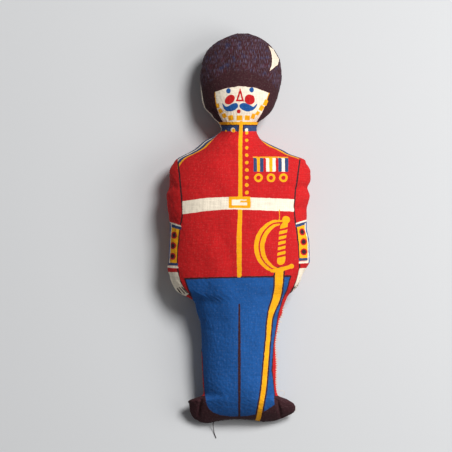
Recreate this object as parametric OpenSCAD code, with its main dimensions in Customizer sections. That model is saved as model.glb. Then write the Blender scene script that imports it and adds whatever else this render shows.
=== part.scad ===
// Stuffed cloth toy soldier, lying on its back: two cotton panels sewn round their edge and filled.
// X runs across the figure, Y from the soles to the cap, and Z up from the surface it lies on.
// Left and right are the figure's own, so its left side is at +X.

/* [Lengths] */
// Height of the boots, from the sole seam to the ankles
boot_height = 28; // [22:1:36]
// Length of the trousers, from the ankles to the tunic hem
leg_length = 122; // [90:1:160]
// How far the hands hang below the tunic hem
hand_drop = 22; // [14:1:30]
// Length of the tunic, from its hem to the neck
tunic_length = 144; // [115:1:190]
// Length of the head and cap above the neck
head_length = 97; // [85:1:120]
// Length of the soft neck that bends
neck_band = 16; // [12:1:17]

/* [Widths] */
// Span across both boots
boots_width = 106; // [96:1:130]
// Width across the ankles
ankle_width = 70; // [56:1:74]
// Width across both sleeves
chest_width = 144; // [120:1:180]
// Width of the neck
neck_width = 35; // [28:1:46]
// Width of the cap
cap_width = 82; // [66:1:104]

/* [Depths] */
// Thickness at the ankles
ankle_depth = 38; // [28:1:48]
// Thickness at the top of the trousers
leg_depth = 54; // [42:1:66]
// Thickness at the chest
chest_depth = 65; // [48:1:80]
// Thickness of the neck
neck_depth = 36; // [28:1:44]
// Thickness of the cap
cap_depth = 57; // [44:1:72]
// Depth of the flat that the back is pressed to where it lies
rest_flat = 0.5; // [0.2:0.1:1.5]

/* [Cloth and thread] */
// Thickness of the cotton
cloth = 0.8; // [0.4:0.1:1.2]
// Width of each panel's edge at the seam
seam_edge = 1.6; // [1.2:0.1:2.4]
// Thickness of the machine thread
thread = 0.5; // [0.3:0.05:0.6]
// Distance of the machine thread inside the panels' edge
thread_seat = 1.1; // [1:0.05:1.5]
// Thickness of the hand-sewing thread that closes the sole
closing_thread = 0.7; // [0.4:0.05:1]
// Length of one closing stitch
closing_stitch = 5; // [3:0.5:8]
// Distance from one closing stitch to the next
closing_pitch = 4.5; // [3:0.5:8]
// Width of the sole opening that the closing stitches close
closing_width = 50; // [30:1:56]
// Thickness of the knot that ends the closing thread
closing_knot = 1.8; // [1.2:0.1:3]
// How far the loose end of the closing thread reaches past its knot
tail_reach = 14; // [10:0.5:24]

/* [Clearances] */
// Gap between the stuffing and the cloth
stuffing_gap = 0.5; // [0.3:0.1:1]
// Gap between one wad of stuffing and the next
wad_gap = 0.5; // [0.3:0.1:1]
// Gap between the head's pieces and the neck that bends
bend_gap = 0.2; // [0.1:0.1:0.5]

/* [Hidden] */
// Facets across a panel from seam to seam, across a boot's wad, and round each kind of thread
panel_facets = 12;
boot_facets = 5;
seam_facets = 4;
tail_facets = 8;
stitch_fn = 24;
// Share of the thickness that lies in front of the seam, and how the two faces round over to it
front_share = 0.53;
front_round = 0.6;
back_round = 0.62;
back_square = 3;
// Lean of a closing stitch across the edge, in degrees, and its clearance from the sole edge
stitch_lean = 24;
stitch_gap = 0.15;
// Half height of the stuffing's blunt edge beside the seam
wad_edge = 0.3;

// Outline and depth of each stretch, from the soles up. Each row holds shares: the distance along
// the stretch, the half widths on the figure's right and left, the thickness, and the height of
// the back above the surface. The last two are shares of the stretch's own thickness.
boot_shares = [
    [0.00, 0.290, 0.330, 0.00, 0.200],
    [0.10, 0.370, 0.390, 0.30, 0.110],
    [0.25, 0.430, 0.460, 0.50, 0.060],
    [0.45, 0.455, 0.530, 0.70, 0.040],
    [0.60, 0.460, 0.535, 0.80, 0.040],
    [0.75, 0.462, 0.515, 0.88, 0.050],
    [0.90, 0.420, 0.450, 0.95, 0.065],
    [1.00, 0.340, 0.365, 1.00, 0.080],
];
leg_shares = [
    [0.037, 0.482, 0.530, 0.72, 0.070],
    [0.220, 0.482, 0.500, 0.78, 0.055],
    [0.440, 0.515, 0.505, 0.86, 0.037],
    [0.720, 0.547, 0.564, 0.94, 0.019],
    [0.854, 0.600, 0.610, 0.98, 0.009],
    [0.950, 0.630, 0.670, 1.00, 0.009],
];
hand_shares = [
    [0.05, 0.380, 0.335, 0.860, 0.005],
    [0.25, 0.430, 0.370, 0.885, 0.000],
    [0.50, 0.455, 0.415, 0.910, 0.000],
    [1.00, 0.483, 0.448, 0.940, 0.000],
];
tunic_shares = [
    [0.050, 0.495, 0.475, 0.960, 0.000],
    [0.090, 0.490, 0.495, 0.970, 0.000],
    [0.240, 0.484, 0.494, 1.000, 0.000],
    [0.330, 0.483, 0.482, 1.000, 0.000],
    [0.450, 0.497, 0.482, 1.000, 0.000],
    [0.550, 0.503, 0.498, 0.990, 0.000],
    [0.605, 0.490, 0.484, 0.985, 0.000],
    [0.660, 0.485, 0.502, 0.970, 0.000],
    [0.720, 0.480, 0.500, 0.950, 0.000],
    [0.770, 0.455, 0.472, 0.920, 0.008],
    [0.810, 0.420, 0.415, 0.880, 0.016],
    [0.845, 0.345, 0.330, 0.820, 0.031],
    [0.900, 0.250, 0.225, 0.740, 0.070],
];
neck_shares = [
    [-0.5, 0.720, 0.600, 1.17, 0.19],
    [0.0, 0.486, 0.514, 1.00, 0.25],
    [0.5, 0.580, 0.560, 1.10, 0.19],
];
head_shares = [
    [0.11, 0.290, 0.290, 0.75, 0.110],
    [0.17, 0.345, 0.375, 0.83, 0.060],
    [0.24, 0.420, 0.430, 0.90, 0.026],
    [0.37, 0.452, 0.485, 0.97, 0.000],
    [0.55, 0.470, 0.528, 1.00, 0.000],
    [0.71, 0.440, 0.510, 0.95, 0.026],
    [0.80, 0.400, 0.460, 0.86, 0.070],
    [0.90, 0.285, 0.360, 0.67, 0.165],
    [0.96, 0.150, 0.250, 0.44, 0.270],
    [1.00, 0.020, 0.120, 0.00, 0.475],
];

hem = boot_height + leg_length;
neck = hem + tunic_length;
doll_length = neck + head_length;
middle = doll_length / 2;

// A row holds the height above the soles, the half widths on the right and left, the rise of the
// front and the drop of the back from the seam, and the seam's height above the surface.
function rows(shares, start, length, width, depth) = [
    for (s = shares) [
        start + s[0] * length,
        s[1] * width,
        s[2] * width,
        s[3] * depth * front_share,
        s[3] * depth * (1 - front_share),
        s[3] * depth * (1 - front_share) + s[4] * depth - rest_flat,
    ]
];

boot_rows = rows(boot_shares, 0, boot_height, boots_width, ankle_depth);
leg_rows = rows(leg_shares, boot_height, leg_length - hand_drop, ankle_width, leg_depth);
hand_rows = rows(hand_shares, hem - hand_drop, hand_drop, chest_width, chest_depth);
tunic_rows = rows(tunic_shares, hem, tunic_length, chest_width, chest_depth);
neck_rows = rows(neck_shares, neck, neck_band, neck_width, neck_depth);
head_only_rows = rows(head_shares, neck, head_length, cap_width, cap_depth);

body_rows = concat(boot_rows, leg_rows, hand_rows, tunic_rows, [neck_rows[0]]);
head_rows = concat([shifted(neck_rows[2], bend_gap)], head_only_rows);
legs_end = len(boot_rows) + len(leg_rows) - 1;
waist_end = legs_end + len(hand_rows) + floor(len(tunic_rows) / 2);

wad_side = seam_edge + 2 * thread_seat;
wad_skin = cloth + stuffing_gap;
leg_wad_half = ankle_width / 2 - wad_side;
boot_first_row = 2;
boot_last_row = 6;

closing_stitches_count = floor(closing_width / closing_pitch) + 1;
closing_start = -closing_stitches_count * closing_pitch / 2 + closing_pitch / 2;
sole_seam = boot_rows[0][5];
stitch_offset = closing_thread / 2 + stitch_gap;

// The knot hangs from the foot of the first closing stitch, and the loose end leaves it for the
// surface. Each row of the route holds shares: across and away from the sole, of the reach, and
// the height, of the knot's.
stitch_way = [sin(stitch_lean), 0, cos(stitch_lean)];
first_stitch = [closing_start, -middle - stitch_offset, sole_seam];
knot_place = first_stitch - (closing_stitch / 2 + stitch_gap + closing_knot / 2) * stitch_way;
tail_start = knot_place - [0, closing_knot / 2 + stitch_gap, 0];
tail_shares = [
    [0.00, 0.00, 1.00],
    [0.00, 0.10, 0.98],
    [-0.02, 0.22, 0.86],
    [-0.05, 0.35, 0.64],
    [-0.04, 0.50, 0.40],
    [0.00, 0.65, 0.20],
    [0.06, 0.82, 0.14],
    [0.14, 1.00, 0.12],
];
tail_route = [
    for (s = tail_shares) [
        tail_start[0] + s[0] * tail_reach,
        tail_start[1] - s[1] * tail_reach,
        max(closing_thread / 2, tail_start[2] * s[2]),
    ]
];

function shifted(row, by) = [row[0] + by, row[1], row[2], row[3], row[4], row[5]];
function inset(row, side, skin) = [
    row[0],
    row[1] - side,
    row[2] - side,
    max(0, row[3] - skin),
    max(0, row[4] - skin),
    row[5],
];
function place(along, x, z) = [x, along - middle, z];

// Position across a row: -1 at the right seam, 1 at the left one.
function across(row, x) = min(1, max(-1, (2 * x + row[1] - row[2]) / (row[1] + row[2])));
function rise(row, x) = row[3] * pow(1 - pow(across(row, x), 2), front_round);
function drop(row, x) = row[4] * pow(1 - pow(abs(across(row, x)), back_square), back_round);
function spread(from, to, steps) = [
    for (j = [0:steps]) from + (to - from) * (1 - cos(180 * j / steps)) / 2
];

// Points of a panel's face, one list for each row. The back rests on a flat at the given level.
function front_grid(panel_rows) = [
    for (row = panel_rows) [
        for (x = spread(-row[1], row[2], panel_facets)) place(row[0], x, row[5] + rise(row, x))
    ]
];
function back_grid(panel_rows, level) = [
    for (row = panel_rows) [
        for (x = spread(-row[1], row[2], panel_facets))
            place(row[0], x, max(level, row[5] - drop(row, x)))
    ]
];

// Rows of a panel's inner face: a closed end, with no depth, also moves in from the seam.
function lining(panel_rows) = [
    for (i = [0:len(panel_rows) - 1])
        let (row = panel_rows[i], ends = row[3] > 0 ? 0 : i == 0 ? seam_edge : -seam_edge)
        shifted(inset(row, seam_edge, cloth), ends)
];

function flat_list(lists) = [for (l = lists) each l];
function quad(a, b, c, d, turned) = turned ? [[a, c, b], [a, d, c]] : [[a, b, c], [a, c, d]];

// A thin shell between an outer and an inner grid of points, closed by strips round its four edges.
module shell(outer, inner, turned) {
    last_row = len(outer) - 1;
    columns = len(outer[0]);
    last = columns - 1;
    under = len(outer) * columns;
    function at(i, j) = i * columns + j;
    points = concat(flat_list(outer), flat_list(inner));
    outside = [
        for (i = [0:last_row - 1], j = [0:last - 1])
            each quad(at(i, j), at(i + 1, j), at(i + 1, j + 1), at(i, j + 1), turned)
    ];
    inside = [
        for (i = [0:last_row - 1], j = [0:last - 1])
            each quad(
                under + at(i, j), under + at(i + 1, j), under + at(i + 1, j + 1),
                under + at(i, j + 1), !turned
            )
    ];
    right_edge = [
        for (i = [0:last_row - 1])
            each quad(at(i, 0), under + at(i, 0), under + at(i + 1, 0), at(i + 1, 0), turned)
    ];
    left_edge = [
        for (i = [0:last_row - 1])
            each quad(
                at(i, last), under + at(i, last), under + at(i + 1, last), at(i + 1, last), !turned
            )
    ];
    lower_edge = [
        for (j = [0:last - 1])
            each quad(at(0, j), under + at(0, j), under + at(0, j + 1), at(0, j + 1), !turned)
    ];
    upper_edge = [
        for (j = [0:last - 1])
            each quad(
                at(last_row, j), under + at(last_row, j), under + at(last_row, j + 1),
                at(last_row, j + 1), turned
            )
    ];
    polyhedron(points, concat(outside, inside, right_edge, left_edge, lower_edge, upper_edge));
}

module front_shell(panel_rows) {
    shell(front_grid(panel_rows), front_grid(lining(panel_rows)), false);
}

module back_shell(panel_rows) {
    shell(back_grid(panel_rows, 0), back_grid(lining(panel_rows), cloth), true);
}

// A closed solid through rings of equally many points, with flat ends.
module loft(rings) {
    sides = len(rings[0]);
    last = len(rings) - 1;
    walls = [
        for (i = [0:last - 1], k = [0:sides - 1])
            let (next = (k + 1) % sides)
            each quad(
                i * sides + k, (i + 1) * sides + k, (i + 1) * sides + next, i * sides + next, false
            )
    ];
    first_cap = [for (k = [0:sides - 1]) k];
    last_cap = [for (k = [sides - 1:-1:0]) last * sides + k];
    polyhedron(flat_list(rings), concat(walls, [first_cap, last_cap]));
}

// Ring of a wad of stuffing across one row, from one x to another.
function wad_ring(row, from, to, facets) =
    let (xs = spread(from, to, facets))
    concat(
        [for (x = xs) place(row[0], x, row[5] + max(wad_edge, rise(row, x)))],
        [
            for (j = [facets:-1:0])
                place(row[0], xs[j], max(wad_skin, row[5] - max(wad_edge, drop(row, xs[j]))))
        ]
    );
function wad_rows(from_rows) = [for (row = from_rows) inset(row, wad_side, wad_skin)];
function trimmed(cut_rows) = [
    for (i = [0:len(cut_rows) - 1])
        shifted(cut_rows[i], i == 0 ? wad_gap / 2 : i == len(cut_rows) - 1 ? -wad_gap / 2 : 0)
];
function slice(list, from, to) = [for (i = [from:to]) list[i]];

module wad(from_rows) {
    loft([
        for (row = trimmed(wad_rows(from_rows))) wad_ring(row, -row[1], row[2], panel_facets)
    ]);
}

// A thread swept along points: a ring square to the path at each point.
function unit(v) = v / norm(v);
function ring_round(centre, direction, radius, facets) =
    let (side = unit(cross(direction, [0, 0, 1])), up = cross(side, direction))
    [
        for (k = [0:facets - 1])
            let (turn = 360 * k / facets)
            centre + radius * (cos(turn) * side - sin(turn) * up)
    ];
module thread_along(path, diameter, facets) {
    last = len(path) - 1;
    loft([
        for (i = [0:last])
            let (way = unit(path[min(i + 1, last)] - path[max(i - 1, 0)]))
            ring_round(path[i], way, diameter / 2, facets)
    ]);
}

// Path of the machine seam just inside the panels' edge, on the right (-1) or left (1) side.
function seam_path(path_rows, side) = [
    for (row = path_rows)
        let (half = side < 0 ? row[1] : row[2], ends = row[3] > 0 ? 0 : seam_edge + thread_seat)
        place(row[0] - ends, side * (half - seam_edge - thread_seat), row[5])
];
function reversed(list) = [for (i = [len(list) - 1:-1:0]) list[i]];

// The front panel's three stretches: tunic to boots, the collar that bends, and the head.
module front_panel_body() { color("#bb2028") front_shell(body_rows); }
module front_panel_neck() { color("#1f3a78") front_shell(neck_rows); }
module front_panel_head() { color("#3a2226") front_shell(head_rows); }

// The back panel's three stretches.
module back_panel_body() { color("#bb2028") back_shell(body_rows); }
module back_panel_neck() { color("#1f3a78") back_shell(neck_rows); }
module back_panel_head() { color("#3a2226") back_shell(head_rows); }

// Wads of stuffing, pushed in one after another.
module stuffing_legs() {
    color("ivory") loft([
        for (i = [1:legs_end])
            let (
                cut = i == legs_end ? -wad_gap / 2 : 0,
                row = shifted(inset(body_rows[i], wad_side, wad_skin), cut),
                in_boots = i < len(boot_rows)
            )
            wad_ring(
                row, in_boots ? -leg_wad_half : -row[1], in_boots ? leg_wad_half : row[2],
                panel_facets
            )
    ]);
}
module boot_wad(side) {
    loft([
        for (row = wad_rows(slice(boot_rows, boot_first_row, boot_last_row)))
            let (near = leg_wad_half + wad_gap)
            side < 0
                ? wad_ring(row, -row[1], -near, boot_facets)
                : wad_ring(row, near, row[2], boot_facets)
    ]);
}
module stuffing_right_boot() { color("ivory") boot_wad(-1); }
module stuffing_left_boot() { color("ivory") boot_wad(1); }
module stuffing_waist() { color("ivory") wad(slice(body_rows, legs_end, waist_end)); }
module stuffing_chest() { color("ivory") wad(slice(body_rows, waist_end, len(body_rows) - 1)); }
module stuffing_neck() { color("ivory") wad(neck_rows); }
module stuffing_head() { color("ivory") wad(slice(head_rows, 0, len(head_rows) - 2)); }

// The machine seam's thread: down each side to the toes, through the neck, and over the cap.
module seam_thread_body() {
    color("wheat") for (side = [-1, 1])
        thread_along(
            seam_path(slice(body_rows, boot_first_row, len(body_rows) - 1), side), thread,
            seam_facets
        );
}
module seam_thread_neck() {
    color("wheat") for (side = [-1, 1])
        thread_along(seam_path(trimmed(neck_rows), side), thread, seam_facets);
}
module seam_thread_head() {
    color("wheat") thread_along(
        concat(seam_path(head_rows, -1), reversed(seam_path(head_rows, 1))), thread, seam_facets
    );
}

// Hand stitches that close the sole, each leaning across its edge.
module closing_stitches() {
    color("#24181c") for (i = [0:closing_stitches_count - 1])
        translate(place(-stitch_offset, closing_start + i * closing_pitch, sole_seam))
            rotate([0, stitch_lean, 0])
                cylinder(h = closing_stitch, d = closing_thread, center = true, $fn = stitch_fn);
}

// The knot of the closing thread, and its loose end.
module closing_thread_end() {
    color("#24181c") {
        translate(knot_place) sphere(d = closing_knot, $fn = stitch_fn);
        thread_along(tail_route, closing_thread, tail_facets);
    }
}

front_panel_body();
front_panel_neck();
front_panel_head();
back_panel_body();
back_panel_neck();
back_panel_head();
stuffing_legs();
stuffing_right_boot();
stuffing_left_boot();
stuffing_waist();
stuffing_chest();
stuffing_neck();
stuffing_head();
seam_thread_body();
seam_thread_neck();
seam_thread_head();
closing_stitches();
closing_thread_end();
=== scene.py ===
import math

import bpy
import numpy as np
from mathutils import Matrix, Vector


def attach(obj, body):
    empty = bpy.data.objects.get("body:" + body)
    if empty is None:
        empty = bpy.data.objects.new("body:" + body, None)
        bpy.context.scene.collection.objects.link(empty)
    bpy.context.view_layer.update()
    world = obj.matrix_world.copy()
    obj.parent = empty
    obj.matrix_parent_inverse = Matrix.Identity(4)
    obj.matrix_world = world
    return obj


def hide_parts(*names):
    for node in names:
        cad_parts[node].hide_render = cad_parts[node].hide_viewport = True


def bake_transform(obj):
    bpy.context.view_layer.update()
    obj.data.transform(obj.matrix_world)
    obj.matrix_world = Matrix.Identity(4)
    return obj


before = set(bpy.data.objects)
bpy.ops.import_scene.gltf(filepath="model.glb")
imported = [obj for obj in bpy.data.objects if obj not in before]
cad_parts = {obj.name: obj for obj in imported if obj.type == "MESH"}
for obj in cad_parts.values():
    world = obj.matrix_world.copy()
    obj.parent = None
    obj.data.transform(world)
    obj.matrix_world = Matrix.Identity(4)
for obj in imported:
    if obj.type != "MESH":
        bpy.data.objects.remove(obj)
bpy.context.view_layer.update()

# Stuffed cloth soldier lying on its back: printed cotton panels, their seam, and loose threads.
# Lengths are millimetres in the row frame until a mesh is made. X is to the viewer's right,
# Y runs from the soles to the cap, and Z is up.
mm = 0.001
rng = np.random.default_rng(7)

# Camera: straight above the doll, with the photograph's frame one millimetre to the pixel.
photoView = {
    "frameMm": 452.0,
    "centre": (-12.5, 3.0),
    "planeHeight": 24.0,
    "lens": 600.0,
    "sensor": 36.0,
    "clip": (0.1, 60.0),
}


def makeCamera(spec):
    # distance = frame width times lens over sensor, above the height where 1 px is 1 mm
    data = bpy.data.cameras.new("camera")
    data.lens, data.sensor_width = spec["lens"], spec["sensor"]
    data.clip_start, data.clip_end = spec["clip"]
    camera = bpy.data.objects.new("camera", data)
    distance = spec["frameMm"] * spec["lens"] / spec["sensor"]
    camera.location = (
        spec["centre"][0] * mm,
        spec["centre"][1] * mm,
        (distance + spec["planeHeight"]) * mm,
    )
    bpy.context.scene.collection.objects.link(camera)
    bpy.context.scene.camera = camera
    print("camera set", round(distance), "mm above the doll")


makeCamera(photoView)

# The doll's form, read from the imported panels.
stretches = ("body", "neck", "head")
panelNodes = {side: [f"{side}_panel_{part}" for part in stretches] for side in ("front", "back")}
panelGrid = {
    "rows": 500,
    "columns": 176,
    "endDensity": 0.35,
    "edgeDensity": 0.6,
    "frontRound": 0.6,
    "backRound": 0.62,
    "backSquare": 3.0,
    "restReach": 0.05,
    "restFlat": 0.5,
}


def nodePoints(names):
    # every vertex of these CAD nodes, in millimetres
    found = []
    for name in names:
        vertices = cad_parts[name].data.vertices
        flat = np.empty(len(vertices) * 3)
        vertices.foreach_get("co", flat)
        found.append(flat.reshape(-1, 3) / mm)
    return np.concatenate(found)


stationReading = {"near": 0.06, "leastDepth": 0.5, "leastStep": 1.0}


def formRows(spec):
    # one row for each station of the panels: y, left edge, right edge, seam, front top, back bottom
    front, back = nodePoints(panelNodes["front"]), nodePoints(panelNodes["back"])
    rows = []
    for y in np.unique(np.round(front[:, 1], 1)):
        over = front[np.abs(front[:, 1] - y) < spec["near"]]
        under = back[np.abs(back[:, 1] - y) < spec["near"]]
        (left, right), (seam, top) = ((over[:, k].min(), over[:, k].max()) for k in (0, 2))
        rows.append([y, left, right, seam, top, under[:, 2].min()])
    rows = np.array(rows)
    deep = rows[:, 4] - rows[:, 3] > spec["leastDepth"]
    deep[[0, -1]] = True
    rows = rows[deep]
    return rows[np.append(True, np.diff(rows[:, 0]) > spec["leastStep"])]


def smoothThrough(xs, values, x):
    # cubic curve through the stations whose slopes are harmonic means, so it never overshoots
    step = np.diff(xs)
    rise = np.diff(values) / step
    same = rise[:-1] * rise[1:] > 0
    slope = np.zeros(len(xs))
    slope[1:-1][same] = 2 * rise[:-1][same] * rise[1:][same] / (rise[:-1][same] + rise[1:][same])
    slope[0], slope[-1] = rise[0], rise[-1]
    i = np.clip(np.searchsorted(xs, x) - 1, 0, len(step) - 1)
    t = (x - xs[i]) / step[i]
    return (
        values[i] * (1 + 2 * t) * (1 - t) ** 2
        + slope[i] * step[i] * t * (1 - t) ** 2
        + values[i + 1] * t * t * (3 - 2 * t)
        + slope[i + 1] * step[i] * t * t * (t - 1)
    )


formSmoothing = {
    "step": 0.5, "edge": 1.2, "depth": 7.0, "endFade": 30.0, "soleSink": 2.4, "soleFade": 22.0,
}
# Small swellings of the outline: y, how far out, and how far along the edge
edgeSwell = {
    "left": [(88.0, 4.6, 5.0), (-143.0, 2.4, 22.0), (-171.5, 3.0, 2.4)],
    "right": [
        (70.0, 3.6, 2.6), (78.5, 2.0, 2.6), (-64.0, 1.6, 6.0), (-84.0, 1.6, 4.5), (-92.0, 0.8, 20.0),
        (-139.0, 3.2, 26.0),
    ],
}


class Form:
    # the doll's edges, seam height and depths at any y: the stations joined by curves, then eased
    def __init__(self, rows, spec):
        self.rows = rows
        self.sole, self.top = rows[0, 0], rows[-1, 0]
        self.y = np.arange(self.sole, self.top + spec["step"], spec["step"])
        fade = np.clip(np.minimum(self.y - self.sole, self.top - self.y) / spec["endFade"], 0, 1)
        self.columns = []
        for k in range(1, 6):
            raw = smoothThrough(rows[:, 0], rows[:, k], np.clip(self.y, self.sole, self.top))
            soft = eased(raw, (spec["edge"] if k < 3 else spec["depth"]) / spec["step"])
            self.columns.append(raw + fade * (soft - raw))
        for k, side, out in ((0, "left", -1), (1, "right", 1)):
            for y, far, along in edgeSwell[side]:
                self.columns[k] = self.columns[k] + out * far * np.exp(-(((self.y - y) / along) ** 2))
        sink = spec["soleSink"] * np.clip(1 - (self.y - self.sole) / spec["soleFade"], 0, 1)
        self.columns[2:] = [np.maximum(column - sink, 0.0) for column in self.columns[2:]]

    def at(self, y):
        left, right, seam, crown, base = (np.interp(y, self.y, column) for column in self.columns)
        drop = seam - base + np.where(base < panelGrid["restReach"], panelGrid["restFlat"], 0.0)
        return left, right, seam, crown - seam, drop


def eased(values, sigma):
    # average with bell-shaped weights over four sigmas each way, the end values held
    reach = int(4 * sigma) + 1
    weights = np.exp(-0.5 * (np.arange(-reach, reach + 1) / sigma) ** 2)
    return np.convolve(np.pad(values, reach, mode="edge"), weights / weights.sum(), mode="valid")


def unit(v):
    # vectors of length 1, or zero where there is no length
    return v / np.maximum(np.linalg.norm(v, axis=-1, keepdims=True), 1e-9)


form = Form(formRows(stationReading), formSmoothing)
print("form has", len(form.rows), "stations from", form.sole, "to", form.top)


def rowHeights(count):
    # y of each grid row, closer together at the two ends
    t = np.linspace(0, 1, count)
    t = t - panelGrid["endDensity"] * np.sin(2 * np.pi * t) / (2 * np.pi)
    return form.sole + (form.top - form.sole) * t


def columnPlaces(count):
    # position across, -1 at the left seam and 1 at the right, closer together at the seams
    u = np.linspace(-1, 1, count)
    k = panelGrid["edgeDensity"]
    return k * np.sin(np.pi * u / 2) + (1 - k) * u


soleShape = {"arch": 4.0, "archHalf": 34.0, "rightLift": 2.5, "fade": 26.0}


def soleLift(x, y):
    # the sole seam arches up between the boots and is a little higher under the boot at positive x
    above = (y - form.sole) / soleShape["fade"]
    fade = np.clip(1 - above, 0, 1) ** 2
    arch = soleShape["arch"] * np.clip(1 - (x / soleShape["archHalf"]) ** 2, 0, 1)
    side = soleShape["rightLift"] * np.clip(x / soleShape["archHalf"], 0, 1)
    return fade * np.maximum(arch, side)


def panelSurface(side, rowCount, columnCount):
    # the section is a lens: it rises as (1 - s^2)^p in front, and drops as (1 - |s|^r)^q behind
    y = rowHeights(rowCount)[:, None]
    s = columnPlaces(columnCount)[None, :]
    left, right, seam, crown, drop = form.at(y)
    x = (left + right) / 2 + s * (right - left) / 2
    if side == "front":
        z = seam + crown * np.maximum(1 - s * s, 0) ** panelGrid["frontRound"]
    else:
        lens = np.maximum(1 - np.abs(s) ** panelGrid["backSquare"], 0)
        z = np.maximum(seam - drop * lens ** panelGrid["backRound"], 0.0)
    y = y + soleLift(x, y)
    return np.stack([x, y + 0 * x, z + 0 * x], axis=-1)


def gridFaces(rowCount, columnCount, turned=False):
    # quads of a grid, running up the rows and across the columns
    index = np.arange(rowCount * columnCount).reshape(rowCount, columnCount)
    quads = np.stack([index[:-1, :-1], index[:-1, 1:], index[1:, 1:], index[1:, :-1]], axis=-1)
    quads = quads.reshape(-1, 4)
    return quads[:, ::-1] if turned else quads


def makeMesh(name, points, quads, material, smooth=True):
    # a mesh object at the origin from points in millimetres
    mesh = bpy.data.meshes.new(name)
    mesh.vertices.add(len(points))
    mesh.vertices.foreach_set("co", (points * mm).astype(np.float32).ravel())
    mesh.loops.add(quads.size)
    mesh.loops.foreach_set("vertex_index", quads.astype(np.int32).ravel())
    mesh.polygons.add(len(quads))
    mesh.polygons.foreach_set("loop_start", np.arange(0, quads.size, quads.shape[1], dtype=np.int32))
    mesh.polygons.foreach_set("use_smooth", np.full(len(quads), smooth))
    mesh.update(calc_edges=True)
    mesh.validate()
    mesh.materials.append(material)
    piece = bpy.data.objects.new(name, mesh)
    bpy.context.scene.collection.objects.link(piece)
    return piece


def setField(piece, name, values):
    # a float for each vertex, which a material reads by name
    attribute = piece.data.attributes.new(name, "FLOAT", "POINT")
    attribute.data.foreach_set("value", np.asarray(values, np.float32).ravel())


def setClothUv(piece, flat):
    # the panel's own coordinates, in metres along the cloth
    corners = np.empty(len(piece.data.loops), np.int32)
    piece.data.loops.foreach_get("vertex_index", corners)
    layer = piece.data.uv_layers.new(name="cloth")
    layer.data.foreach_set("uv", (flat[corners] * mm).astype(np.float32).ravel())


def clothLengths(surface):
    # distance along the cloth from the middle column, and up the middle from the sole
    across = np.linalg.norm(np.diff(surface, axis=1), axis=2)
    across = np.concatenate([np.zeros((len(surface), 1)), np.cumsum(across, axis=1)], axis=1)
    across = across - across[:, [surface.shape[1] // 2]]
    up = np.linalg.norm(np.diff(surface[:, surface.shape[1] // 2], axis=0), axis=1)
    up = np.concatenate([[0], np.cumsum(up)])[:, None] + 0 * across
    return np.stack([across, up], axis=-1)


# Signed distances of flat shapes, in millimetres and positive inside, and the inks that they print.
inkNames = ("gold", "red", "blue", "navy", "dark")
bare = ()
gold, red, blue, navy, dark = ((ink,) for ink in inkNames)


def throughPoints(a, b, c, d, t):
    # cubic from b to c whose slopes there follow the neighbours a and d
    bend = 2 * a - 5 * b + 4 * c - d
    twist = 3 * b - a - 3 * c + d
    return (2 * b + (c - a) * t + bend * t**2 + twist * t**3) / 2


def smoothLoop(points, steps=6):
    # closed curve through the points
    p = np.asarray(points, float)
    t = (np.arange(steps) / steps)[None, :, None]
    return throughPoints(*(np.roll(p, k, 0)[:, None] for k in (1, 0, -1, -2)), t).reshape(-1, 2)


def smoothLine(points, steps=6):
    # open curve through the points, with one more point beyond each end
    p = np.asarray(points, float)
    p = np.vstack([2 * p[0] - p[1], p, 2 * p[-1] - p[-2]])
    t = (np.arange(steps) / steps)[None, :, None]
    curve = throughPoints(*(q[:, None] for q in (p[:-3], p[1:-2], p[2:-1], p[3:])), t)
    return np.vstack([curve.reshape(-1, p.shape[1]), p[-2]])


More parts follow.
